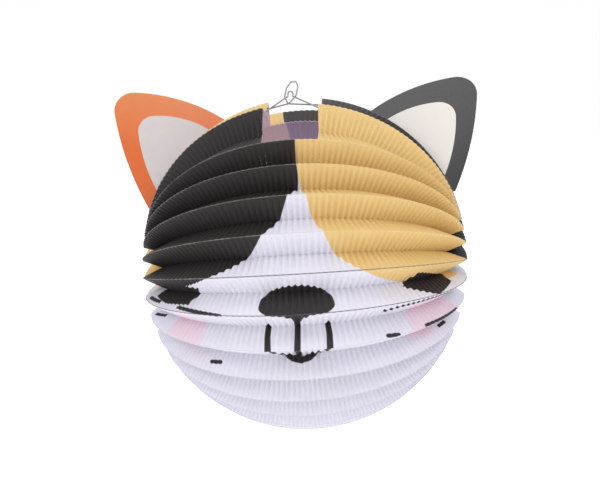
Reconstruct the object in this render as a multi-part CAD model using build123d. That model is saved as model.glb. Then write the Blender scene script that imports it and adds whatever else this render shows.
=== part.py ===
from build123d import *
from math import cos, radians, sin, sqrt, pi
import os

# An accordion paper ball lantern with a cat's face. The pleats run from side to side and
# fan about one line, the fold axis, from the mouth at the top round to the bottom pleat.
# Millimetres, +Z up, +X to the right of someone who looks at the face, which looks to -Y.
# The origin is where the lantern hangs: under the crown of the eye in its wire handle.

# overall sizes
ball_width = 220.0        # side to side, over the ends of the pleats
ridge_radius = 112.0      # fold axis to an outer crease, halfway along the pleat
rim_radius = 115.0        # the same for the two pleats beside the mouth
hang_height = 123.3       # fold axis to the crown of the eye, which is the origin

# the folded paper
front_pleats = 12         # between the front rim pleat and the bottom pleat
back_pleats = 12
panel_width = 17.6        # paper between an outer crease and the next inner crease
paper = 0.4               # crimped paper, through its ribs
end_paper = 3.0           # how far the two panels are pressed together at the ends of a crease
shallowest = 6.0          # depth of the folds beside the mouth, which are pulled nearly flat
rim_angle = 14.3          # from straight up to the crease of each rim pleat
front_start = 35.7        # from straight up to the front crease at the mouth's edge
back_start = 27.2
front_sag = 6.4           # the face's pleats hang open a little more below the middle
gap = 0.3                 # between neighbouring pleats, and round what is glued or slotted in

# the pressed and glued ends of the pleats, on the fold axis
end_radius = 8.0
end_length = panel_width

# the mouth
mouth_width = 39.0

# the ears
ear_card = 0.8
ear_base = (39.5, 108.0)  # x and reach of each corner, in the plane of the card
ear_tip = (122.5, 134.0)
ear_foot = (104.0, 51.0)
ear_top_bulge = 7.5       # how far each long edge bows out
ear_side_bulge = 4.5
ear_round = 12.0          # rounding of the tip
ear_seat = ((22.5, 1.39), (44.0, 2.03), (64.0, 2.61))   # angle, and height over the crease, of its glued edge

# the wire handle
wire = 1.0
bend = 1.3                # centre-line radius of its bends
foot = 6.0                # wire that lies inside the rim pleat's fold, at each side
foot_reach = 109.0        # fold axis to that wire
eye_lean = -4.4           # how far the throat of the eye lies to the left of its crown
eye_length = 14.5         # crown to throat, between centre lines
eye_width = 7.6
tongue_width = 3.4
tongue_low = 9.2          # crown of the eye down to the tongue that passes through it
tongue_tip = 2.6          # how far the tongue turns up behind the eye
tongue_back = 2.4         # how far behind the eye it stands


def point(x, reach, angle):
    """A point at x along the fold axis, at a distance and an angle from it, + to the front."""
    a = radians(angle)
    return Vector(x, -reach * sin(a), reach * cos(a) - hang_height)


def crease_angles():
    """The angle of every outer crease, from the back rim over the top and down to the bottom."""
    back_step = (180.0 - back_start) / back_pleats
    front_step = (180.0 - front_start) / front_pleats
    back = [-back_start - back_step * i for i in range(back_pleats)]
    front = []
    for i in range(front_pleats):
        sag = front_sag * sin(pi * (i / front_pleats) ** 1.2) ** 2
        front.append(front_start + front_step * i + sag)
    return [-rim_angle] + back, [rim_angle] + front


def valley(first, second, radius):
    """The angle and radius of the inner crease halfway between two outer creases."""
    half = radians(abs(second - first) / 2)
    spread = radius * sin(half)
    depth = sqrt(max(panel_width ** 2 - spread ** 2, shallowest ** 2))
    return (first + second) / 2, radius * cos(half) - depth


def arc(points):
    return Edge.make_three_point_arc(*points)


def pleat(angle, radius, valleys):
    """One pleat: two panels of paper that meet in an outer crease."""
    side = ball_width / 2 - 0.5
    inner_side = side - panel_width
    stations = [(-1, end_radius), (0, radius), (1, end_radius)]
    ridge_out = [point(side * k, reach, angle) for k, reach in stations]
    lean = paper * panel_width / (radius * sin(radians(abs(valleys[1][0] - valleys[0][0]) / 4)))
    ridge_in = [point((side - end_paper) * k, reach - (lean if k == 0 else 0), angle)
                for k, reach in stations]
    rows = []
    for valley_angle, valley_radius in valleys:
        toward = 1 if valley_angle < angle else -1
        a = radians(valley_angle)
        away = Vector(0, -cos(a), -sin(a)) * toward
        out, inner = [], []
        for (k, reach), ridge in zip(stations, ridge_out):
            reach = valley_radius if k == 0 else end_radius
            edge = point(inner_side * k, reach, valley_angle) + away * (gap / 2)
            along = Vector(1, 0, 0) if k == 0 else point(0, 1, angle) - point(0, 0, angle)
            normal = (edge - ridge).cross(along).normalized()
            if normal.dot(away) < 0:
                normal = normal * -1
            out.append(edge)
            inner.append(edge + normal * paper)
        rows.append((out, inner))
    (a_out, a_in), (b_out, b_in) = rows
    loop = [a_out, ridge_out, b_out, b_in, ridge_in, a_in]
    faces = []
    for i, line in enumerate(loop):
        faces.append(Face.make_surface_from_curves(arc(line), arc(loop[i - 1])))
    for k in (0, 2):
        for out, inner in ((a_out, a_in), (b_out, b_in)):
            outer_line = Edge.make_line(out[k], ridge_out[k])
            inner_line = Edge.make_line(inner[k], ridge_in[k])
            faces.append(Face.make_surface_from_curves(outer_line, inner_line))
    return Solid(Shell(faces))


def wedge(start, stop, low, high, width):
    """A sector to cut away, between two angles and two distances from the fold axis."""
    corners = [point(-width / 2, reach, angle)
               for reach, angle in ((low, start), (high, start), (high, stop), (low, stop))]
    face = Face(Wire.make_polygon(corners, close=True))
    return extrude(face, amount=width, dir=(1, 0, 0))


def ear(side, fold):
    """One ear: flat card in the plane of the inner crease that it is glued into."""
    angle, radius = fold
    tip, base, low = [(side * x, y) for x, y in (ear_tip, ear_base, ear_foot)]
    half_length = ball_width / 2 - 0.5 - panel_width
    centre = (radius ** 2 - half_length ** 2 - end_radius ** 2) / (2 * (radius - end_radius))
    seat = []
    for a, height in ear_seat:
        a = radians(a)
        crease = centre * cos(a) + sqrt((radius - centre) ** 2 - (centre * sin(a)) ** 2)
        seat.append((side * (crease + height) * sin(a), (crease + height) * cos(a)))
    top = SagittaArc(base, tip, side * ear_top_bulge)
    outer = SagittaArc(tip, low, side * ear_side_bulge)
    edges = [top, outer, Line(low, seat[2]), ThreePointArc(seat[2], seat[1], seat[0]),
             Line(seat[0], base)]
    face = make_face(edges)
    corner = face.vertices().sort_by_distance((tip[0], tip[1], 0))[0]
    face = fillet(corner, ear_round)
    up = point(0, 1, angle) - point(0, 0, angle)
    plane = Plane(origin=point(0, 0, 0), x_dir=(1, 0, 0), z_dir=Vector(1, 0, 0).cross(up))
    return extrude(plane * face, amount=ear_card / 2, both=True)


def rod(points):
    path = FilletPolyline(*points, radius=bend)
    return sweep(Plane(origin=path @ 0, z_dir=path % 0) * Circle(wire / 2), path=path)


def feet(angle):
    """The ends of a bail, at the left: far end, mouth end. They lie on the bail's hinge line."""
    inner = mouth_width / 2 - 0.5
    return point(-inner - foot, foot_reach, angle), point(-inner, foot_reach, angle)


def mirrored(p):
    return Vector(-p.X, p.Y, p.Z)


def back_bail():
    """The wire from the back rim, wound into an eye over the mouth."""
    far, near = feet(-rim_angle)
    crown = wire / 2
    half = eye_width / 2

    def on_eye(across, down, y):
        return Vector(across + eye_lean * down / eye_length, y, crown - down)

    cross = 0.8
    loop = [on_eye(0.2, eye_length, cross), on_eye(half, eye_length * 0.66, 0.3),
            on_eye(half, eye_length * 0.25, 0), on_eye(half * 0.5, 0, 0),
            on_eye(-half * 0.5, 0, 0), on_eye(-half, eye_length * 0.25, 0),
            on_eye(-half, eye_length * 0.66, -0.3), on_eye(-0.2, eye_length, -cross)]
    return rod([far, near] + loop + [mirrored(near), mirrored(far)])


def front_bail():
    """The wire from the front rim. Its tongue passes through the eye and turns up behind it."""
    far, near = feet(rim_angle)
    level = wire / 2 - tongue_low
    middle = eye_lean * tongue_low / eye_length
    tongue = []
    for k in (-1, 1):
        x = middle + k * tongue_width / 2
        strand = [Vector(x, -tongue_back, level - 0.4), Vector(x, tongue_back, level),
                  Vector(x, tongue_back, level + tongue_tip)]
        tongue += strand if k < 0 else strand[::-1]
    return rod([far, near] + tongue + [mirrored(near), mirrored(far)])


def end_stack(side):
    """The glued ends of all the pleats, on the fold axis at one side."""
    middle = side * (ball_width / 2 - 0.5 - end_length / 2)
    plane = Plane(origin=point(middle, 0, 0), z_dir=(1, 0, 0))
    return extrude(plane * Circle(end_radius - gap - 0.05), amount=end_length / 2, both=True)


back, front = crease_angles()
creases = back[::-1] + front
radii = [ridge_radius] * back_pleats + [rim_radius] * 2 + [ridge_radius] * front_pleats
ring = [-180.0] + creases + [180.0]
ring_radii = [ridge_radius] + radii + [ridge_radius]
folds = [valley(ring[i], ring[i + 1], min(ring_radii[i], ring_radii[i + 1]))
         for i in range(len(ring) - 1)]
names = ["back_pleat_%02d" % (i + 1) for i in range(back_pleats, 0, -1)]
names += ["back_rim", "front_rim"]
names += ["front_pleat_%02d" % (i + 2) for i in range(front_pleats)]

ear_fold = folds[back_pleats]
mouth_start = ear_fold[0]
mouth_stop = front[1] - 0.3
notch = wedge(mouth_start, mouth_stop, 84.0, 145.0, mouth_width)

nodes = {}
for i, name in enumerate(names):
    paper_fold = pleat(creases[i], radii[i], (folds[i], folds[i + 1]))
    if name in ("back_rim", "front_rim", "front_pleat_02"):
        paper_fold = paper_fold - notch
    halves = paper_fold.solids().sort_by(Axis.X)
    if len(halves) == 2:
        nodes[name + "_left"], nodes[name + "_right"] = halves
    else:
        nodes[name] = halves[0]
low_fold, high_fold = folds[-1], (folds[0][0] + 360.0, folds[0][1])
nodes["bottom_pleat"] = pleat(180.0, ridge_radius, (low_fold, high_fold))
nodes["pleat_ends_left"] = end_stack(-1)
nodes["pleat_ends_right"] = end_stack(1)
nodes["ear_left"] = ear(-1, ear_fold)
nodes["ear_right"] = ear(1, ear_fold)
nodes["front_bail"] = front_bail()
nodes["back_bail"] = back_bail()

os.makedirs("parts", exist_ok=True)
for name, shape in nodes.items():
    export_step(shape, "parts/%s.step" % name)
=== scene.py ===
import math

import bpy
import numpy as np
from mathutils import Matrix, Vector


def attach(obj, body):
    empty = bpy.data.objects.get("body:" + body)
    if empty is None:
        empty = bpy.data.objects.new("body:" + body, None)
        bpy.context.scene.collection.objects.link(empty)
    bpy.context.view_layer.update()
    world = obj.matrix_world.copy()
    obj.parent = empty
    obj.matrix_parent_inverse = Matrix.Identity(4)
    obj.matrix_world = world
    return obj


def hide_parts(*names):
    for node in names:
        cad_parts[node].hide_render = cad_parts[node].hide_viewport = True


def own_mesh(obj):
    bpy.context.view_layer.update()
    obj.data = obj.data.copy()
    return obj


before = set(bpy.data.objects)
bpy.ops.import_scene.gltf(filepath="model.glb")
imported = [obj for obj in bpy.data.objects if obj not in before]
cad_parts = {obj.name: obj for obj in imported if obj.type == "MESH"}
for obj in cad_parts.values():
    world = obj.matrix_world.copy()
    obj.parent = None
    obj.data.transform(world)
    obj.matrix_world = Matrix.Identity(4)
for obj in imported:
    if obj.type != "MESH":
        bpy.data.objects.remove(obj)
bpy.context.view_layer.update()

MM = 0.001

# Sizes are in millimetres and angles in degrees, straight up being 0 and the front positive.

# The folds, as in part.py.
HANG = 123.3             # fold axis to the crown of the eye
PANEL = 17.6             # paper between an outer crease and the next inner crease
RIDGE = 112.0            # fold axis to an outer crease, halfway along it
RIM = 115.0              # the same for the two pleats beside the mouth
SHALLOWEST = 6.0         # depth of the folds beside the mouth
PLEATS = 12              # in each sheet, between its rim pleat and the bottom pleat
RIM_ANGLE = 14.3
FRONT_START = 35.7
BACK_START = 27.2
FRONT_SAG = 6.4          # the face's pleats hang open a little more below the middle

# Where the paper lies a little off its CAD solids.
BACK_SECOND = 114.5      # reach of the pleat behind the back rim
FRONT_DROP = 1.9         # how much lower the front rim and the mouth's edge hang
MOUTH_EDGES = (-19.8, 17.2)   # x of the mouth's two sides

# The side seams: the ends of the pleats are stacked closer together than their middles.
SEAM_X = 110.0
SEAM_MIDDLE = -21.0
SEAM_HALF = 51.0
SEAM_ROUND_UP = 125.0    # half heights of the two ellipses that the seam follows
SEAM_ROUND_DOWN = 112.0
SEAM_GAP = 0.4           # each sheet's end to the middle of the seam

# The paper.
SHEET = 0.22
HALF_LENGTH = 173.0      # half the length of a crease, along the paper
FRONT_PRINT_AT = -3.6    # where the front sheet starts, in the print's own measure down the sheet
RIB_PITCH = 4.5
RIB_AT_RIDGE = 0.18
RIB_AT_VALLEY = 1.0
COLUMNS_PER_RIB = 6
ROWS = 7                 # rows of faces in each panel
RIB_RISE = 0.6           # how soon the ribs deepen between a ridge and a valley
RIB_SPREAD = 5           # how late they turn outwards, so that two papers' ribs nest in a valley


# ---------------------------------------------------------------- geometry of the folds

def crease_angles():
    back_step = (180.0 - BACK_START) / PLEATS
    front_step = (180.0 - FRONT_START) / PLEATS
    back = [-BACK_START - back_step * i for i in range(PLEATS)]
    front = [FRONT_START + front_step * i
             + FRONT_SAG * math.sin(math.pi * (i / PLEATS) ** 1.2) ** 2 for i in range(PLEATS)]
    front = [a + FRONT_DROP * max(1 - i / 2, 0) for i, a in enumerate(front)]
    return [-RIM_ANGLE] + back, [RIM_ANGLE + FRONT_DROP] + front


def seam_point(count):
    """x and height of the seam at an outer crease: 0 is the rim pleat, 13 the bottom pleat."""
    height = SEAM_MIDDLE + SEAM_HALF * math.cos(math.pi * count / (PLEATS + 1))
    half_height = SEAM_ROUND_UP if height > 0 else SEAM_ROUND_DOWN
    return SEAM_X * math.sqrt(1 - (height / half_height) ** 2), height


def radial(angle):
    """The direction away from the fold axis."""
    a = math.radians(angle)
    return np.array([0.0, -math.sin(a), math.cos(a)])


class Crease:
    """An arc from the left seam, through the middle of the lantern, to the right seam."""

    def __init__(self, count, angle, reach, inset, sheet):
        x, height = seam_point(count)
        self.angle, self.reach = angle, reach
        self.half = x - inset
        self.low = np.array([0.0, -sheet * SEAM_GAP, height])
        high = radial(angle) * reach
        self.rise = np.linalg.norm(high - self.low)
        self.up = (high - self.low) / self.rise
        self.radius = (self.half ** 2 + self.rise ** 2) / (2 * self.rise)
        self.sweep = math.atan2(self.half, self.radius - self.rise)

    def points(self, t):
        """t runs from -1 at the left end to 1 at the right end."""
        along = self.rise - self.radius * (1 - np.cos(t * self.sweep))
        result = self.low + self.up * along[:, None]
        result[:, 0] = self.radius * np.sin(t * self.sweep)
        result[:, 2] -= HANG
        return result

    def t_at(self, x):
        return math.asin(x / self.radius) / self.sweep


def inner_crease(first, second, sheet):
    """The inner crease between two outer creases, each given as count, angle, reach."""
    half = math.radians(abs(second[1] - first[1]) / 2)
    reach = min(first[2], second[2])
    depth = math.sqrt(max(PANEL ** 2 - (reach * math.sin(half)) ** 2, SHALLOWEST ** 2))
    height = abs(seam_point(first[0])[1] - seam_point(second[0])[1]) / 2
    inset = math.sqrt(PANEL ** 2 - height ** 2)
    middle = (first[1] + second[1]) / 2
    count = max((first[0] + second[0]) / 2, 0.25)
    return Crease(count, middle, reach * math.cos(half) - depth, inset, sheet)


def unit(v):
    return v / np.maximum(np.linalg.norm(v, axis=-1, keepdims=True), 1e-9)


def rib_wave(u):
    """Height of the crimp at a distance along the crease, from -1 to 1, with rounded tops."""
    phase = u / RIB_PITCH * 2 * math.pi
    return np.sin(phase) + 0.12 * np.sin(2 * phase + 0.6) - 0.10 * np.sin(3 * phase)


def panel_length(ridge, valley):
    """Length of paper from a crease to a valley, halfway along."""
    return float(np.linalg.norm(radial(ridge.angle) * ridge.reach
                                - radial(valley.angle) * valley.reach))


def pleat_grid(ridge, valleys, ts, calm=(1.0, 1.0)):
    """Rows of points over a pleat, from its first valley over the crease to the second.

    ts holds the three creases' own t for each column, and calm the share of the ribs' height
    that is kept towards each valley. Returns the points, the direction of the paper's thickness
    there, t at each point, and each row's place across the pleat.
    """
    top, top_t = ridge.points(ts[1]), ts[1]
    rows, own_t, across, step = [], [], [], []
    for number, valley in enumerate(valleys):
        low_t = ts[2 * number]
        low = valley.points(low_t)
        steps = np.linspace(1, 0, ROWS + 1) if number == 0 else np.linspace(0, 1, ROWS + 1)[1:]
        for w in steps:
            rows.append(top * (1 - w) + low * w)
            own_t.append(top_t * (1 - w) + low_t * w)
            across.append(w if number else -w)
        step.append((top - low) * (1 if number == 0 else -1))
    rows, own_t = np.array(rows), np.array(own_t)
    along = unit(np.gradient(rows, axis=1))
    outward = radial(ridge.angle)
    middle = rows.shape[1] // 2
    directions = np.empty_like(rows)
    for i, w in enumerate(across):
        if w == 0:
            a = unit(np.cross(along[i], unit(step[0])))
            b = unit(np.cross(along[i], unit(step[1])))
            normal = unit(a + b)
        else:
            normal = unit(np.cross(along[i], unit(step[0 if w < 0 else 1])))
        if np.dot(normal[middle], outward) < 0:
            normal = -normal
        own = valleys[0] if w < 0 else valleys[1]
        out = unit(own.points(own_t[i]) - np.array([0, 0, -HANG]) + own.up * 40)
        mix = abs(w) ** RIB_SPREAD
        directions[i] = unit(normal * (1 - mix) + out * mix)
    across = np.array(across)
    height = RIB_AT_RIDGE + (RIB_AT_VALLEY - RIB_AT_RIDGE) * np.abs(across) ** RIB_RISE
    height = height * np.where(across < 0, calm[0], calm[1])
    # the ribs are pressed flatter over the last twentieth at each end
    ends = np.clip((1 - np.abs(own_t)) / 0.05, 0, 1) * 0.6 + 0.4
    wave = rib_wave(own_t * HALF_LENGTH) * ends
    return rows + directions * (wave * height[:, None])[..., None], directions, own_t, across


def distances(start, ridge, valleys):
    """The place down the sheet of each row of a pleat that starts at start."""
    above, below = (panel_length(ridge, v) for v in valleys)
    rows = np.concatenate([np.linspace(0, above, ROWS + 1),
                           above + np.linspace(0, below, ROWS + 1)[1:]])
    return start + rows


class Sheet:
    """A sheet's outer creases, the inner creases between them, and its rows' places on it."""

    def __init__(self, name, sign, angles, start):
        self.name, self.sign, self.angles = name, sign, angles
        places = [(i, a, RIDGE if i else RIM) for i, a in enumerate(angles)]
        if sign < 0:
            places[1] = places[1][:2] + (BACK_SECOND,)
        other_rim = (-1, -angles[0], RIM)
        bottom = (PLEATS + 1, 180.0 * sign, RIDGE)
        steps = [other_rim] + places + [bottom]
        self.folds = [inner_crease(a, b, sign if k else 0)
                      for k, (a, b) in enumerate(zip(steps, steps[1:]))]
        self.ridges = [Crease(*place, 0.0, sign) for place in places]
        self.rows = []
        for i, ridge in enumerate(self.ridges):
            self.rows.append(distances(start, ridge, self.folds[i:i + 2]))
            start = self.rows[-1][-1]
        self.end = start


back_angles, front_angles = crease_angles()
front_sheet = Sheet("front", 1, front_angles, FRONT_PRINT_AT)
back_sheet = Sheet("back", -1, back_angles, 0.0)

# ---------------------------------------------------------------- meshes

def new_object(name, points, faces, materials, indices=None, smooth=True):
    mesh = bpy.data.meshes.new(name)
    mesh.from_pydata([tuple(p) for p in np.asarray(points) * MM], [], [tuple(f) for f in faces])
    for material in materials:
        mesh.materials.append(material)
    if indices is not None:
        mesh.polygons.foreach_set("material_index", np.asarray(indices, np.int32))
    mesh.polygons.foreach_set("use_smooth", [smooth] * len(mesh.polygons))
    mesh.update()
    obj = bpy.data.objects.new(name, mesh)
    bpy.context.scene.collection.objects.link(obj)
    return obj


def sheet_object(name, grid, s, materials, missing=None):
    """Closed paper from a grid: outer side, inner side and cut edge.

    Its points carry their place on the flat sheet. Faces that are missing are left out.
    """
    points, directions, own_t, across = grid
    count_r, count_c = points.shape[:2]
    number = np.arange(count_r * count_c).reshape(count_r, count_c)
    total = number.size
    present = np.ones((count_r - 1, count_c - 1), bool)
    if missing is not None:
        present &= ~missing
    r, c = np.nonzero(present)
    quads = np.stack([number[r, c], number[r, c + 1], number[r + 1, c + 1], number[r + 1, c]], 1)

    # the outer side looks the way of the paper's thickness
    mid_r, mid_c = count_r // 4, count_c // 5
    a = points[mid_r, mid_c + 1] - points[mid_r, mid_c]
    b = points[mid_r + 1, mid_c] - points[mid_r, mid_c]
    if np.dot(np.cross(a, b), directions[mid_r, mid_c]) < 0:
        quads = quads[:, ::-1]

    # the cut edge joins the two sides where a side of a face has no neighbour
    sides = np.concatenate([quads[:, [i, (i + 1) % 4]] for i in range(4)])
    keys = set(map(tuple, sides.tolist()))
    border = [(p, q) for p, q in keys if (q, p) not in keys]
    rim = np.array([(q, p, p + total, q + total) for p, q in border])

    shift = directions.reshape(-1, 3) * (SHEET / 2)
    flat = points.reshape(-1, 3)
    everything = np.concatenate([flat + shift, flat - shift])
    faces = np.concatenate([quads, quads[:, ::-1] + total, rim])
    indices = [0] * len(quads) + [1] * len(quads) + [2] * len(rim)
    used = np.zeros(2 * total, bool)
    used[faces.ravel()] = True
    renumber = np.cumsum(used) - 1
    obj = new_object(name, everything[used], renumber[faces], materials, indices)
    mesh = obj.data

    place = np.stack([own_t * HALF_LENGTH, np.broadcast_to(s[:, None], own_t.shape),
                      np.broadcast_to(across[:, None], own_t.shape)], -1).reshape(-1, 3)
    place = np.concatenate([place, place])[used]
    attribute = mesh.attributes.new("sheet", "FLOAT_VECTOR", "POINT")
    attribute.data.foreach_set("vector", place.astype(np.float32).ravel())

    # sharp along the outer crease and round the cut edge
    ends = np.empty(len(mesh.edges) * 2, np.int32)
    mesh.edges.foreach_get("vertices", ends)
    ends = ends.reshape(-1, 2)
    on_ridge = np.tile(np.repeat(across == 0, count_c), 2)[used]
    sharp = on_ridge[ends[:, 0]] & on_ridge[ends[:, 1]]
    bordering = {tuple(sorted((renumber[p + k], renumber[q + k]))) for p, q in border
                 for k in (0, total)}
    sharp |= np.array([tuple(sorted(e)) in bordering for e in ends.tolist()])
    flags = mesh.attributes.new("sharp_edge", "BOOLEAN", "EDGE")
    flags.data.foreach_set("value", sharp)
    return obj


# ---------------------------------------------------------------- materials

class Nodes:
    """A material's node tree, with short calls for the nodes that are used here."""

    def __init__(self, name):
        self.material = bpy.data.materials.new(name)
        self.material.use_nodes = True
        self.tree = self.material.node_tree
        self.shader = self.tree.nodes["Principled BSDF"]

    def put(self, socket, value):
        if isinstance(value, bpy.types.NodeSocket):
            self.tree.links.new(value, socket)
        elif value is not None:
            socket.default_value = value

    def math(self, operation, *values, clamp=False):
        node = self.tree.nodes.new("ShaderNodeMath")
        node.operation, node.use_clamp = operation, clamp
        for socket, value in zip(node.inputs, values):
            self.put(socket, value)
        return node.outputs[0]

    def vector(self, operation, *values, scale=None):
        node = self.tree.nodes.new("ShaderNodeVectorMath")
        node.operation = operation
        for socket, value in zip(node.inputs, values):
            self.put(socket, value)
        if scale is not None:
            self.put(node.inputs["Scale"], scale)
        return node.outputs[1 if operation in ("DOT_PRODUCT", "LENGTH", "DISTANCE") else 0]

    def blend(self, factor, a, b):
        node = self.tree.nodes.new("ShaderNodeMix")
        node.data_type = "RGBA"
        self.put(node.inputs[0], factor)
        self.put(node.inputs[6], a)
        self.put(node.inputs[7], b)
        return node.outputs[2]

    def noise(self, size, detail=3.0, stretch=(1, 1, 1), source=None):
        """Noise whose features are about size millimetres across."""
        if source is None:
            source = self.tree.nodes.new("ShaderNodeTexCoord").outputs["Object"]
            per = 1 / (size * MM)
        else:
            per = 1 / size
        spread = self.vector("MULTIPLY", source, tuple(per * k for k in stretch))
        node = self.tree.nodes.new("ShaderNodeTexNoise")
        node.inputs["Scale"].default_value = 1.0
        node.inputs["Detail"].default_value = detail
        self.put(node.inputs["Vector"], spread)
        return node.outputs["Fac"]

    def curve(self, value, points):
        """A smooth function of value through the points, in their own units."""
        xs, ys = [p[0] for p in points], [p[1] for p in points]
        x0, dx = min(xs), max(xs) - min(xs)
        y0, dy = min(ys), max(ys) - min(ys)
        node = self.tree.nodes.new("ShaderNodeFloatCurve")
        line = node.mapping.curves[0]
        places = [((x - x0) / dx, (y - y0) / dy) for x, y in points]
        line.points[0].location, line.points[1].location = places[0], places[-1]
        for place in places[1:-1]:
            line.points.new(*place)
        node.mapping.update()
        self.put(node.inputs["Value"],
                 self.math("DIVIDE", self.math("SUBTRACT", value, x0), dx, clamp=True))
        return self.math("MULTIPLY_ADD", node.outputs[0], dy, y0)

    def inside(self, distance, soft=0.3):
        """1 where distance is below nothing, 0 where it is above, in millimetres."""
        return self.math("MULTIPLY_ADD", distance, -0.5 / soft, 0.5, clamp=True)

    def segment(self, place, a, b):
        """Distance to a straight stroke on the sheet."""
        d = (b[0] - a[0], b[1] - a[1], 0.0)
        square = d[0] ** 2 + d[1] ** 2
        from_a = self.vector("SUBTRACT", place, (a[0], a[1], 0.0))
        part = self.vector("DOT_PRODUCT", from_a, tuple(k / square for k in d))
        part = self.math("MULTIPLY", part, 1.0, clamp=True)
        foot = self.vector("SCALE", d, scale=part)
        return self.vector("DISTANCE", from_a, foot)

    def stroke(self, place, points, half_width):
        """Distance to a line of straight strokes, where it is positive outside."""
        nearest = None
        for a, b in zip(points, points[1:]):
            d = self.segment(place, a, b)
            nearest = d if nearest is None else self.math("MINIMUM", nearest, d)
        return self.math("SUBTRACT", nearest, half_width)

    def polygon(self, place, corners):
        """Distance to a convex shape on the sheet, where it is positive outside."""
        middle = [sum(c[k] for c in corners) / len(corners) for k in (0, 1)]
        furthest = None
        for a, b in zip(corners, corners[1:] + corners[:1]):
            normal = np.array([b[1] - a[1], a[0] - b[0]]) / math.dist(a, b)
            offset = float(normal @ a)
            if normal @ middle > offset:
                normal, offset = -normal, -offset
            d = self.vector("DOT_PRODUCT", place, (float(normal[0]), float(normal[1]), 0.0))
            d = self.math("SUBTRACT", d, offset)
            furthest = d if furthest is None else self.math("MAXIMUM", furthest, d)
        return furthest

    def ellipse(self, u, s, centre, half):
        """Roughly the distance to an ellipse on the sheet."""
        x = self.math("DIVIDE", self.math("SUBTRACT", u, centre[0]), half[0])
        y = self.math("DIVIDE", self.math("SUBTRACT", s, centre[1]), half[1])
        square = self.math("ADD", self.math("MULTIPLY", x, x), self.math("MULTIPLY", y, y))
        past = self.math("SUBTRACT", self.math("SQRT", square), 1.0)
        return self.math("MULTIPLY", past, min(half))

    def finish(self, colour, rough, specular, bump=None, bump_size=0.1):
        """Joins the last values to the shader and gives the material."""
        self.put(self.shader.inputs["Base Color"], colour)
        self.put(self.shader.inputs["Roughness"], rough)
        self.put(self.shader.inputs["Specular IOR Level"], specular)
        if bump is not None:
            node = self.tree.nodes.new("ShaderNodeBump")
            node.inputs["Distance"].default_value = bump_size * MM
            node.inputs["Strength"].default_value = 1.0
            self.put(node.inputs["Height"], bump)
            self.put(self.shader.inputs["Normal"], node.outputs[0])
        return self.material


def rgb(r, g, b):
    """Linear colour from the usual 0 to 255 values."""
    def linear(c):
        c /= 255
        return c / 12.92 if c <= 0.04045 else ((c + 0.055) / 1.055) ** 2.4
    return linear(r), linear(g), linear(b), 1.0


# The inks, and the bare paper.
WHITE = rgb(218, 216, 227)
BLACK = rgb(44, 40, 40)
YELLOW = rgb(220, 188, 126)
PINK = rgb(226, 205, 217)
INNER_WHITE = rgb(222, 219, 230)     # the paper's inner side, under no ink

# The face on the flat front sheet: across from its middle, and down from the mouth's middle.
BLAZE_TOP = (60.0, 100.0, 3.0)       # the two patches meet between these heights, this far across
BLAZE_OPENS = 125.0
EDGE_PARTS = (0.0, 0.18, 0.34, 0.5, 0.65, 0.75, 0.82, 0.87, 0.92, 0.96)   # closer where it turns
PATCHES_END = 246.0


def swept_edge(across, sweep, reach, power):
    """A patch's edge: down from the top, then sweeping out to a level line at the reach."""
    start, end, middle = BLAZE_TOP
    points = [(start, middle), (end, middle)]
    for part in EDGE_PARTS:
        down = part * reach
        points.append((BLAZE_OPENS + down, across + sweep * down / (reach - down) ** power))
    return points


def arc_steps(first, last, count):
    """Evenly spaced angles, in radians."""
    return [math.radians(first + (last - first) * k / count) for k in range(count + 1)]


# Each patch's edge: where it starts across, how strongly it sweeps, its reach and its power.
BLAZE_LEFT = swept_edge(4.0, -3.45, 112.0, 0.5)
BLAZE_RIGHT = swept_edge(6.0, 6.0, 124.0, 0.75)
NOSE_MIDDLE, NOSE_HALF = -1.0, 26.5
NOSE_WIDEST, NOSE_UP, NOSE_DOWN, NOSE_TIP = 243.0, 17.0, 10.0, 264.0
NOSE_TRIM = 0.3                      # keeps its ends of no width from drawing a hairline
NOSE = [(NOSE_WIDEST + (NOSE_DOWN if a > 0 else NOSE_UP) * math.sin(a), NOSE_HALF * math.cos(a))
        for a in arc_steps(-90, 70, 8)] + [(NOSE_TIP, 0)]
MOUTH_MIDDLE, MOUTH_HALF = -1.5, 22.5
MOUTH_TOP, MOUTH_TURN, MOUTH_DEEP = 267.0, 275.0, 32.0       # straight, then half an ellipse
MOUTH_LINE = ([(MOUTH_MIDDLE - MOUTH_HALF, MOUTH_TOP)]
              + [(MOUTH_MIDDLE + MOUTH_HALF * math.cos(a), MOUTH_TURN + MOUTH_DEEP * math.sin(a))
                 for a in arc_steps(180, 0, 10)]
              + [(MOUTH_MIDDLE + MOUTH_HALF, MOUTH_TOP)])
STEM = [(-1.3, 255), (-3.2, 304)]
EYE_LEFT = [(-140, 224), (-112, 218), (-78, 226), (-86, 243), (-112, 245), (-140, 242)]
EYE_RIGHT = [(141, 232), (95, 223), (81, 237), (107, 250), (138, 243)]
CHEEKS = [((-98, 279), (20, 24)), ((114, 281), (30, 30))]     # middle, and half width and height
CHEEK_SOFT = 2.5
WHISKERS = [[(-150, 246), (-122, 245)], [(-95, 246), (-54, 250)], [(-160, 280), (-141, 274)],
            [(-78, 313), (-70, 312)], [(62, 259), (74, 256), (100, 254), (140, 253)],
            [(97, 284), (140, 285)], [(134, 311), (146, 312)], [(63, 283), (71, 284)]]
MOUTH_STROKE, WHISKER_STROKE = 2.3, 1.5      # half widths of the lines

# The two creases over and under the eyes carry dark lines of painted shade, for the gap under
# their overhang: their place down the sheet, how far from it the line shows, and its half width
# and softness as shares of a panel.
PAINTED_SHADE_CREASES = [front_sheet.rows[i][ROWS] for i in (5, 6)]
DARK_REACH, DARK_HALF, DARK_SOFT, DARK_SHARE = 8.0, 0.03, 0.012, 0.75

# The back sheet's patches: where they meet and how that line waves, and the same for their end.
BACK_SPLIT, SPLIT_WAVE, SPLIT_TURN = -6.0, 8.0, 0.03
BACK_END, END_WAVE, END_TURN = 226.0, 16.0, 0.036


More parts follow.
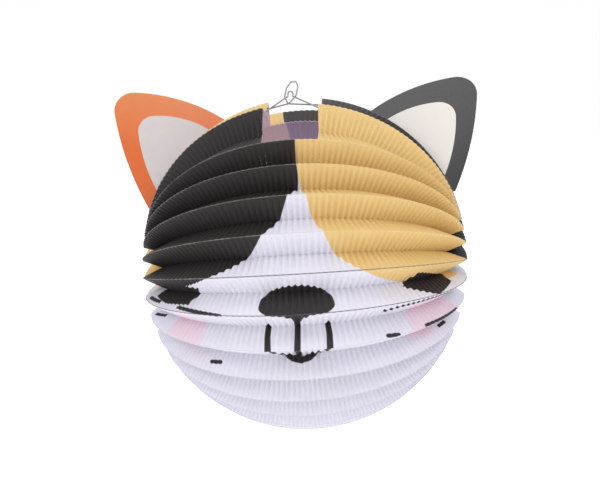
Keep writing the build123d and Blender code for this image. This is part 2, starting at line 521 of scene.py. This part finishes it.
def on_sheet(nodes):
    """The place on the flat sheet, with its parts: along, down and across the pleat."""
    node = nodes.tree.nodes.new("ShaderNodeAttribute")
    node.attribute_name = "sheet"
    split = nodes.tree.nodes.new("ShaderNodeSeparateXYZ")
    nodes.put(split.inputs[0], node.outputs["Vector"])
    u, s, w = split.outputs
    flat = nodes.vector("MULTIPLY", node.outputs["Vector"], (1.0, 1.0, 0.0))
    return flat, u, s, w


def patches(nodes, u, s):
    """Where the front sheet's black and yellow patches are."""
    left = nodes.curve(s, BLAZE_LEFT)
    right = nodes.curve(s, BLAZE_RIGHT)
    above = nodes.inside(nodes.math("SUBTRACT", s, PATCHES_END))
    black = nodes.math("MULTIPLY", nodes.inside(nodes.math("SUBTRACT", u, left)), above)
    yellow = nodes.math("MULTIPLY", nodes.inside(nodes.math("SUBTRACT", right, u)), above)
    return black, yellow


def paper_finish(nodes, colour, w, flat, gloss, crease_tone=None):
    """Fibres, a patchy line along the outer creases, and the soft sheen of printed paper."""
    fibres = nodes.noise(0.9, 4.0, (1.0, 0.35, 1.0), flat)
    mottle = nodes.noise(14.0, 3.0, (1, 1, 1), flat)
    shade = nodes.math("MULTIPLY_ADD", fibres, 0.10, 0.90)
    shade = nodes.math("MULTIPLY", shade, nodes.math("MULTIPLY_ADD", mottle, 0.10, 0.97))
    colour = nodes.vector("SCALE", colour, scale=shade)
    # A patchy line along each outer crease, blended towards the crease tone: lighter on ink, and
    # on the front's bare paper a darker grey, which is painted shade.
    crease = nodes.math("MULTIPLY_ADD", nodes.math("ABSOLUTE", w), -28.0, 1.0, clamp=True)
    patchy = nodes.math("MULTIPLY_ADD", mottle, 0.6, -0.05, clamp=True)
    crease_mark = nodes.math("MULTIPLY", crease, patchy)
    colour = nodes.blend(crease_mark, colour, crease_tone or rgb(226, 222, 228))
    rough = nodes.math("MULTIPLY_ADD", fibres, 0.12, gloss)
    return nodes.finish(colour, rough, 0.22, fibres, 0.03)


def painted_glow_inside(nodes, colour, w, flat):
    """The paper's inner side, with a painted glow: a little emission that stands in for the light
    that comes through the paper.
    """
    nodes.put(nodes.shader.inputs["Emission Color"], colour)
    # painted glow: the inner side emits its own colour at this strength
    nodes.shader.inputs["Emission Strength"].default_value = 0.4
    return paper_finish(nodes, colour, w, flat, 0.6)


def front_print():
    nodes = Nodes("front_print")
    flat, u, s, w = on_sheet(nodes)
    black, yellow = patches(nodes, u, s)
    dark = nodes.math("MINIMUM", nodes.polygon(flat, EYE_LEFT), nodes.polygon(flat, EYE_RIGHT))
    away = nodes.math("ABSOLUTE", nodes.math("SUBTRACT", u, NOSE_MIDDLE))
    half = nodes.math("SUBTRACT", nodes.curve(s, NOSE), NOSE_TRIM)
    dark = nodes.math("MINIMUM", dark, nodes.math("SUBTRACT", away, half))
    for line, half_width in ([(MOUTH_LINE, MOUTH_STROKE), (STEM, MOUTH_STROKE)]
                             + [(whisker, WHISKER_STROKE) for whisker in WHISKERS]):
        dark = nodes.math("MINIMUM", dark, nodes.stroke(flat, line, half_width))
    pink = nodes.math("MINIMUM", nodes.ellipse(u, s, *CHEEKS[0]), nodes.ellipse(u, s, *CHEEKS[1]))
    colour = nodes.blend(nodes.inside(pink, CHEEK_SOFT), WHITE, PINK)
    colour = nodes.blend(yellow, colour, YELLOW)
    colour = nodes.blend(black, colour, BLACK)
    colour = nodes.blend(nodes.inside(dark), colour, BLACK)
    # Dark lines of painted shade along the creases over and under the eyes, for the gap under
    # each overhang.
    near = nodes.math("MINIMUM", *(nodes.math("ABSOLUTE", nodes.math("SUBTRACT", s, height))
                                   for height in PAINTED_SHADE_CREASES))
    near = nodes.inside(nodes.math("SUBTRACT", near, DARK_REACH))
    line = nodes.math("SUBTRACT", nodes.math("ABSOLUTE", w), DARK_HALF)
    line = nodes.math("MULTIPLY", nodes.inside(line, DARK_SOFT), near)
    colour = nodes.blend(nodes.math("MULTIPLY", line, DARK_SHARE), colour, BLACK)
    # The crease line is a darker grey on bare paper, painted shade of the crease, and lighter on
    # the inks.
    inked = nodes.math("ADD", black, yellow, clamp=True)
    crease_tone = nodes.blend(inked, rgb(140, 138, 146), rgb(222, 216, 210))
    return paper_finish(nodes, colour, w, flat, 0.42, crease_tone)


def front_inside():
    nodes = Nodes("front_inside")
    flat, u, s, w = on_sheet(nodes)
    black, yellow = patches(nodes, u, s)
    colour = nodes.blend(yellow, INNER_WHITE, rgb(226, 205, 200))
    colour = nodes.blend(black, colour, rgb(150, 148, 160))
    return painted_glow_inside(nodes, colour, w, flat)


def wave(nodes, value, turn, height):
    """A sine of value, which turns by so many radians per millimetre."""
    return nodes.math("MULTIPLY", nodes.math("SINE", nodes.math("MULTIPLY", value, turn)), height)


def back_patches(nodes, u, s):
    """The back sheet's black and yellow patches, which end in a wavy edge over white."""
    side = nodes.math("ADD", u, wave(nodes, s, SPLIT_TURN, SPLIT_WAVE))
    edge = nodes.math("ADD", wave(nodes, u, END_TURN, END_WAVE), BACK_END)
    above = nodes.inside(nodes.math("SUBTRACT", s, edge))
    yellow = nodes.math("MULTIPLY", nodes.inside(nodes.math("SUBTRACT", side, BACK_SPLIT)), above)
    black = nodes.math("MULTIPLY", nodes.inside(nodes.math("SUBTRACT", BACK_SPLIT, side)), above)
    return black, yellow


def back_print():
    nodes = Nodes("back_print")
    flat, u, s, w = on_sheet(nodes)
    black, yellow = back_patches(nodes, u, s)
    colour = nodes.blend(yellow, WHITE, YELLOW)
    colour = nodes.blend(black, colour, BLACK)
    return paper_finish(nodes, colour, w, flat, 0.42)


def back_inside():
    nodes = Nodes("back_inside")
    flat, u, s, w = on_sheet(nodes)
    black, yellow = back_patches(nodes, u, s)
    # The tints under the patches are the print showing through, darkened further with painted
    # shade of the lantern's inside.
    colour = nodes.blend(yellow, INNER_WHITE, rgb(176, 154, 157))
    colour = nodes.blend(black, colour, rgb(138, 123, 142))
    return painted_glow_inside(nodes, colour, w, flat)


def paper_edge():
    nodes = Nodes("paper_edge")
    fibres = nodes.noise(0.5)
    colour = nodes.blend(fibres, rgb(214, 210, 218), rgb(246, 244, 250))
    return nodes.finish(colour, 0.8, 0.2, fibres, 0.02)


def varnished(nodes, colour, rough, specular, coat):
    """Printed card under varnish, with a fine unevenness and a slight orange-peel."""
    fine = nodes.noise(0.8, 2.0)
    nodes.shader.inputs["Coat Weight"].default_value = coat
    nodes.shader.inputs["Coat Roughness"].default_value = 0.12
    return nodes.finish(colour, nodes.math("MULTIPLY_ADD", fine, 0.15, rough), specular,
                        nodes.noise(5.0, 1.0), 0.05)


def card(name, colour, other, rough, coat):
    """Card that is mottled between two colours."""
    nodes = Nodes(name)
    return varnished(nodes, nodes.blend(nodes.noise(9.0, 4.0), colour, other), rough, 0.25, coat)


def orange_card():
    """Orange with a painted highlight: paler towards the top of the ear, where light catches the
    varnish.
    """
    nodes = Nodes("orange_card")
    height = nodes.tree.nodes.new("ShaderNodeSeparateXYZ")
    nodes.put(height.inputs[0], nodes.tree.nodes.new("ShaderNodeTexCoord").outputs["Object"])
    # painted highlight: the orange pales with height on the card
    up = nodes.math("MULTIPLY_ADD", height.outputs[2], 22.0, 0.9, clamp=True)
    colour = nodes.blend(up, rgb(206, 92, 12), rgb(208, 122, 66))
    shade = nodes.math("MULTIPLY_ADD", nodes.noise(9.0, 4.0), 0.16, 0.92)
    return varnished(nodes, nodes.vector("SCALE", colour, scale=shade), 0.25, 0.3, 0.5)


def steel():
    """Bright drawn wire, streaked along its length."""
    nodes = Nodes("drawn_steel")
    streaks = nodes.noise(0.25, 2.0, (0.15, 1, 1))
    nodes.shader.inputs["Metallic"].default_value = 1.0
    return nodes.finish(nodes.blend(streaks, rgb(120, 119, 119), rgb(196, 195, 195)),
                        nodes.math("MULTIPLY_ADD", streaks, 0.2, 0.18), 0.5, streaks, 0.02)


front_materials = [front_print(), front_inside(), paper_edge()]
back_materials = [back_print(), back_inside(), front_materials[-1]]
card_edge = card("card_edge", rgb(236, 234, 238), rgb(250, 249, 251), 0.6, 0.0)
card_back = card("card_back", rgb(222, 220, 226), rgb(236, 234, 240), 0.45, 0.2)
glue_paper = card("glue_paper", rgb(196, 192, 202), rgb(216, 212, 220), 0.7, 0.0)

# ---------------------------------------------------------------- the pleats

columns = int(round(2 * HALF_LENGTH / RIB_PITCH)) * COLUMNS_PER_RIB
MOUTH_SHIFT_OVER = 4 * COLUMNS_PER_RIB       # columns that give way beside each side of the mouth
EAR_VALLEY = 1                               # the back sheet's inner crease that holds the ears
CALM = 0.3                                   # the share of the ribs' height that is left there

anchor = Vector((0, 0, -HANG * MM))


def even():
    """Evenly spaced columns from one seam to the other, as the creases' own t."""
    return np.linspace(-1, 1, columns + 1)


def mouth_ts(creases):
    """Even columns on each crease, of which one is moved to each side of the mouth."""
    t = even()
    marks = [int(np.argmin(np.abs(t - creases[1].t_at(x)))) for x in MOUTH_EDGES]
    result = []
    for crease in creases:
        own = t.copy()
        for k, x in zip(marks, MOUTH_EDGES):
            near = np.clip(1 - np.abs(np.arange(len(t)) - k) / MOUTH_SHIFT_OVER, 0, 1)
            own += near * (crease.t_at(x) - t[k])
        result.append(own)
    return result, marks


def place_pleat(obj, nodes, body):
    """Rides the pleat on its body, gives it its own mesh, and hides the parts it stands for."""
    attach(obj, body)
    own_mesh(obj)
    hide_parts(*nodes)


def rim_pleat(sheet, materials):
    """The pleat beside the mouth, which the mouth cuts in two."""
    ridge, valleys = sheet.ridges[0], sheet.folds[:2]
    body = sheet.name + "_rim"
    ts, marks = mouth_ts([valleys[0], ridge, valleys[1]])
    for word, span in (("left", slice(None, marks[0] + 1)), ("right", slice(marks[1], None))):
        grid = pleat_grid(ridge, valleys, [own[span] for own in ts], calming(sheet, 0))
        obj = sheet_object("%s_%s_paper" % (body, word), grid, sheet.rows[0], materials)
        place_pleat(obj, [body + "_" + word], body)


def calming(sheet, number):
    """The ribs' share on each side of a pleat: they are flatter where the ears sit."""
    return [CALM if sheet is back_sheet and number + side == EAR_VALLEY else 1.0
            for side in (0, 1)]


def full_pleat(sheet, number, materials):
    """A pleat that runs from seam to seam; the mouth cuts into the front sheet's first."""
    ridge, valleys = sheet.ridges[number], sheet.folds[number:number + 2]
    body = "%s_pleat_%02d" % (sheet.name, number + 1)
    ts, missing = [even()] * 3, None
    if sheet is front_sheet and number == 1:
        ts, marks = mouth_ts([valleys[0], ridge, valleys[1]])
        missing = np.zeros((2 * ROWS, columns), bool)
        missing[:ROWS, marks[0]:marks[1]] = True
    grid = pleat_grid(ridge, valleys, ts, calming(sheet, number))
    obj = sheet_object(body + "_paper", grid, sheet.rows[number], materials, missing)
    place_pleat(obj, [body], body)


def bottom_pleat(materials):
    """The pleat where the two sheets are glued together, which belongs to the front sheet."""
    ridge = Crease(PLEATS + 1, 180.0, RIDGE, 0.0, 0)
    valleys = [front_sheet.folds[-1], back_sheet.folds[-1]]
    obj = sheet_object("bottom_pleat_paper", pleat_grid(ridge, valleys, [even()] * 3),
                       distances(front_sheet.end, ridge, valleys), materials)
    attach(obj, "base")
    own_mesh(obj)
    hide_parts("bottom_pleat")


for sheet, materials in ((front_sheet, front_materials), (back_sheet, back_materials)):
    rim_pleat(sheet, materials)
    for number in range(1, PLEATS + 1):
        full_pleat(sheet, number, materials)
bottom_pleat(front_materials)

# ---------------------------------------------------------------- the glued side seams

STRIP_HIGH, STRIP_LOW = -4.0, -62.0          # heights of its ends, from the fold axis
STRIP_IN, STRIP_WIDE, STRIP_THICK = 12.0, 6.0, 0.5   # in from the seam, width and thickness
STRIP_STEPS = 60
RIPPLE, RIPPLE_TURN = 0.35, 1.4              # the glue pulls its edges into a slight ripple
for side, word in ((-1, "left"), (1, "right")):
    points, faces = [], []
    heights = np.linspace(STRIP_HIGH, STRIP_LOW, STRIP_STEPS)
    for i, z in enumerate(heights):
        x = SEAM_X * math.sqrt(1 - (z / SEAM_ROUND_DOWN) ** 2) - STRIP_IN
        ripple = RIPPLE * math.sin(z * RIPPLE_TURN)
        for dx, y in ((0, -1), (0, 1), (-STRIP_WIDE, 1), (-STRIP_WIDE, -1)):
            points.append((side * (x + dx + ripple), y * STRIP_THICK / 2, z - HANG))
        if i:
            base = 4 * (i - 1)
            faces += [(base + k, base + (k + 1) % 4, base + 4 + (k + 1) % 4, base + 4 + k)
                      for k in range(4)]
    faces += [(3, 2, 1, 0), tuple(4 * (len(heights) - 1) + k for k in range(4))]
    if side > 0:
        faces = [f[::-1] for f in faces]
    strip = new_object("seam_strip_" + word, points, faces, [glue_paper], smooth=False)
    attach(strip, "base")
    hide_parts("pleat_ends_" + word)

# ---------------------------------------------------------------- the ears

ear_fold = back_sheet.folds[EAR_VALLEY]

# Places in the plane of the card: across from the middle, and up from the seam.
EAR_CARD = 0.6
EAR_BASE, EAR_TIP, EAR_FOOT = (42.0, 76.0), (122.5, 103.5), (104.5, 15.0)
EAR_TOP_BULGE, EAR_SIDE_BULGE, EAR_ROUND = 7.5, 4.5, 12.0
EAR_SHIFT = {-1: (7.5, 1.5), 1: (1.5, -1.5)}   # how far each ear's upper edge stands out and up
SEAT_FROM, SEAT_TO = 22.8, 70.0       # angles of the glued edge's ends, round the crease's arc
SEAT_HIGH_FROM, SEAT_HIGH_TO = 1.3, 3.0      # how far over the crease the edge is at each end
BORDER_TOP, BORDER_SIDE, BORDER_ROUND = 13.5, 11.5, 9.0      # the coloured border's widths
BOW_STEPS, CORNER_STEPS, EDGE_STEPS, SEAT_STEPS = 60, 16, 90, 24


def bowed(a, b, bulge):
    """Points of an arc from a to b that bows out to its left by bulge."""
    a, b = np.array(a), np.array(b)
    chord = np.linalg.norm(b - a)
    radius = (chord ** 2 / 4 + bulge ** 2) / (2 * bulge)
    along = (b - a) / chord
    out = np.array([-along[1], along[0]])
    centre = (a + b) / 2 - out * (radius - bulge)
    half = math.asin(chord / 2 / radius)
    angles = np.linspace(-half, half, BOW_STEPS)
    return [centre + radius * (np.sin(k) * along + np.cos(k) * out) for k in angles]


def round_corner(first, second, radius):
    """Joins two runs of points that share a corner, cut back and rounded."""
    def cut(run, corner):
        return [p for p in run if np.linalg.norm(p - corner) > radius * 1.25]
    corner = first[-1]
    first, second = cut(first, corner), cut(second, corner)
    a, b = first[-1], second[0]
    ta, tb = unit(first[-1] - first[-2]), unit(second[0] - second[1])
    reach = np.linalg.norm(b - a) * 0.42
    result = []
    for k in np.linspace(0, 1, CORNER_STEPS)[1:-1]:
        result.append((1 - k) ** 3 * a + 3 * k * (1 - k) ** 2 * (a + ta * reach)
                      + 3 * k * k * (1 - k) * (b + tb * reach) + k ** 3 * b)
    return first + result + second


def even_steps(path):
    """The same path with EDGE_STEPS evenly spaced points."""
    path = np.array(path)
    length = np.concatenate([[0], np.cumsum(np.linalg.norm(np.diff(path, axis=0), axis=1))])
    at = np.linspace(0, length[-1], EDGE_STEPS)
    return np.stack([np.interp(at, length, path[:, k]) for k in (0, 1)], 1)


def ear_outlines(side):
    """Outer path from base over the tip to the foot, the path inside its border, and the seat."""
    shift = np.array(EAR_SHIFT[side])
    corners = [EAR_BASE + shift, EAR_TIP + shift, np.array(EAR_FOOT)]
    top, edge = unit(corners[1] - corners[0]), unit(corners[2] - corners[1])
    in_top, in_side = np.array([top[1], -top[0]]), np.array([edge[1], -edge[0]])
    slide = (BORDER_SIDE - BORDER_TOP * (in_top @ in_side)) / (top @ in_side)
    inner = [corners[0] + in_top * BORDER_TOP, corners[1] + in_top * BORDER_TOP + top * slide,
             corners[2] + in_side * BORDER_SIDE]
    paths = []
    for (base, tip, foot), rounding in ((corners, EAR_ROUND), (inner, BORDER_ROUND)):
        paths.append(even_steps(round_corner(bowed(base, tip, EAR_TOP_BULGE),
                                             bowed(tip, foot, EAR_SIDE_BULGE), rounding)))
    seat = []
    centre = ear_fold.rise - ear_fold.radius
    for k in np.linspace(1, 0, SEAT_STEPS):
        a = math.radians(SEAT_FROM + (SEAT_TO - SEAT_FROM) * k)
        reach = ear_fold.radius + SEAT_HIGH_FROM + (SEAT_HIGH_TO - SEAT_HIGH_FROM) * k
        seat.append((reach * math.sin(a), centre + reach * math.cos(a)))
    return paths[0], paths[1], np.array(seat)


def ear_object(side, word, border, panel):
    """One ear: a printed border and panel in front, plain card behind and round the edge."""
    outer, inner, seat = ear_outlines(side)
    up, origin = ear_fold.up, ear_fold.low - np.array([0, 0, HANG])
    across = np.array([1.0, 0, 0])
    normal = np.cross(across, up)
    loop = [outer, seat, inner]
    n, m = len(outer), len(seat)
    points = []
    for level in (EAR_CARD / 2, -EAR_CARD / 2):
        for run in (loop if level > 0 else loop[:2]):
            points += [origin + across * side * p[0] + up * p[1] + normal * level for p in run]
    ring = [[i, i + 1, n + m + i + 1, n + m + i] for i in range(n - 1)]
    centre = list(range(n + m, n + m + n)) + list(range(n, n + m))
    # the border runs on, at each end, to the seat
    ring += [[n - 1, n, n + m + n - 1], [0, n + m, n + m - 1]]
    back = n + m + n
    rear = list(range(back, back + n + m))[::-1]
    rim = [[(i + 1) % (n + m), i, back + i, back + (i + 1) % (n + m)] for i in range(n + m)]
    faces = ring + [centre] + [rear] + rim
    indices = [0] * len(ring) + [1, 2] + [3] * len(rim)
    if side > 0:
        faces = [f[::-1] for f in faces]
    obj = new_object("ear_%s_card" % word, points, faces, [border, panel, card_back, card_edge],
                     indices, smooth=False)
    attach(obj, "ears")
    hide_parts("ear_" + word)


ear_object(-1, "left", orange_card(),
           card("ear_panel_left", rgb(192, 186, 186), rgb(202, 196, 196), 0.5, 0.05))
ear_object(1, "right", card("black_card", rgb(10, 9, 9), rgb(20, 18, 18), 0.22, 0.7),
           card("ear_panel_right", rgb(218, 213, 209), rgb(226, 221, 217), 0.5, 0.05))

# ---------------------------------------------------------------- the wire handle

wire = steel()
for name in ("front_bail", "back_bail"):
    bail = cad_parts[name]
    bail.data.materials.clear()
    bail.data.materials.append(wire)

# ---------------------------------------------------------------- floor, light and camera

FLOOR_DROP, FLOOR_HALF = 350.0, 9000.0       # under the lantern, and half the floor's width
FLOOR_GLOW = 0.35
SENSOR = 36.0
CAMERA_FAR = 1800.0
FRAME_WIDE = 407.4                   # how much the picture takes in across, at the lantern
AIM_ACROSS, AIM_UP = -3.4, 9.5       # from the fold axis to the middle of the picture
YAW, ELEVATION, ROLL = 3.5, 5.5, 3.6


def floor():
    """A plain pale floor, far under the lantern, that reads as one with the backdrop."""
    nodes = Nodes("studio_floor")
    tone = nodes.noise(900.0, 2.0)
    colour = nodes.blend(tone, rgb(250, 250, 250), rgb(255, 255, 255))
    nodes.put(nodes.shader.inputs["Emission Color"], colour)
    nodes.shader.inputs["Emission Strength"].default_value = FLOOR_GLOW
    material = nodes.finish(colour, nodes.math("MULTIPLY_ADD", tone, 0.1, 0.8), 0.1)
    height = -HANG - RIDGE - FLOOR_DROP
    corners = [(x * FLOOR_HALF, y * FLOOR_HALF, height)
               for x, y in ((-1, -1), (1, -1), (1, 1), (-1, 1))]
    new_object("studio_floor", corners, [(0, 1, 2, 3)], [material], smooth=False)


def area_light(name, place, size, power):
    """A round soft light that looks at the lantern; metres and watts."""
    data = bpy.data.lights.new(name, "AREA")
    data.shape, data.size, data.energy = "DISK", size, power
    obj = bpy.data.objects.new(name, data)
    bpy.context.scene.collection.objects.link(obj)
    obj.location = place
    aim = anchor - obj.location
    obj.rotation_euler = aim.to_track_quat("-Z", "Y").to_euler()


floor()
area_light("key", Vector((1.4, -0.8, 1.2)), 0.5, 5.0)
area_light("fill", Vector((-1.4, -0.9, 1.0)), 0.5, 4.5)
area_light("sheen", Vector((-0.05, -0.85, 1.55)), 0.6, 2.0)

world = bpy.data.worlds.new("studio")
bpy.context.scene.world = world
world.use_nodes = True
world.node_tree.nodes["Background"].inputs["Color"].default_value = (1, 1, 1, 1)
world.node_tree.nodes["Background"].inputs["Strength"].default_value = 1.0

bpy.context.scene.view_settings.view_transform = "Standard"

camera = bpy.data.objects.new("camera", bpy.data.cameras.new("camera"))
bpy.context.scene.collection.objects.link(camera)
camera.data.sensor_width = SENSOR
camera.data.lens = SENSOR * CAMERA_FAR / FRAME_WIDE
camera.data.dof.use_dof = False
yaw, elevation = math.radians(YAW), math.radians(ELEVATION)
back_way = Vector((math.sin(yaw) * math.cos(elevation), -math.cos(yaw) * math.cos(elevation),
                   math.sin(elevation)))
right_way = Vector((math.cos(yaw), math.sin(yaw), 0))
up_way = back_way.cross(right_way)
turn = Matrix.Rotation(math.radians(-ROLL), 3, back_way)
right_way, up_way = turn @ right_way, turn @ up_way
place = anchor + (right_way * AIM_ACROSS + up_way * AIM_UP + back_way * CAMERA_FAR) * MM
axes = Matrix((right_way, up_way, back_way)).transposed().to_4x4()
camera.matrix_world = Matrix.Translation(place) @ axes
bpy.context.scene.camera = camera
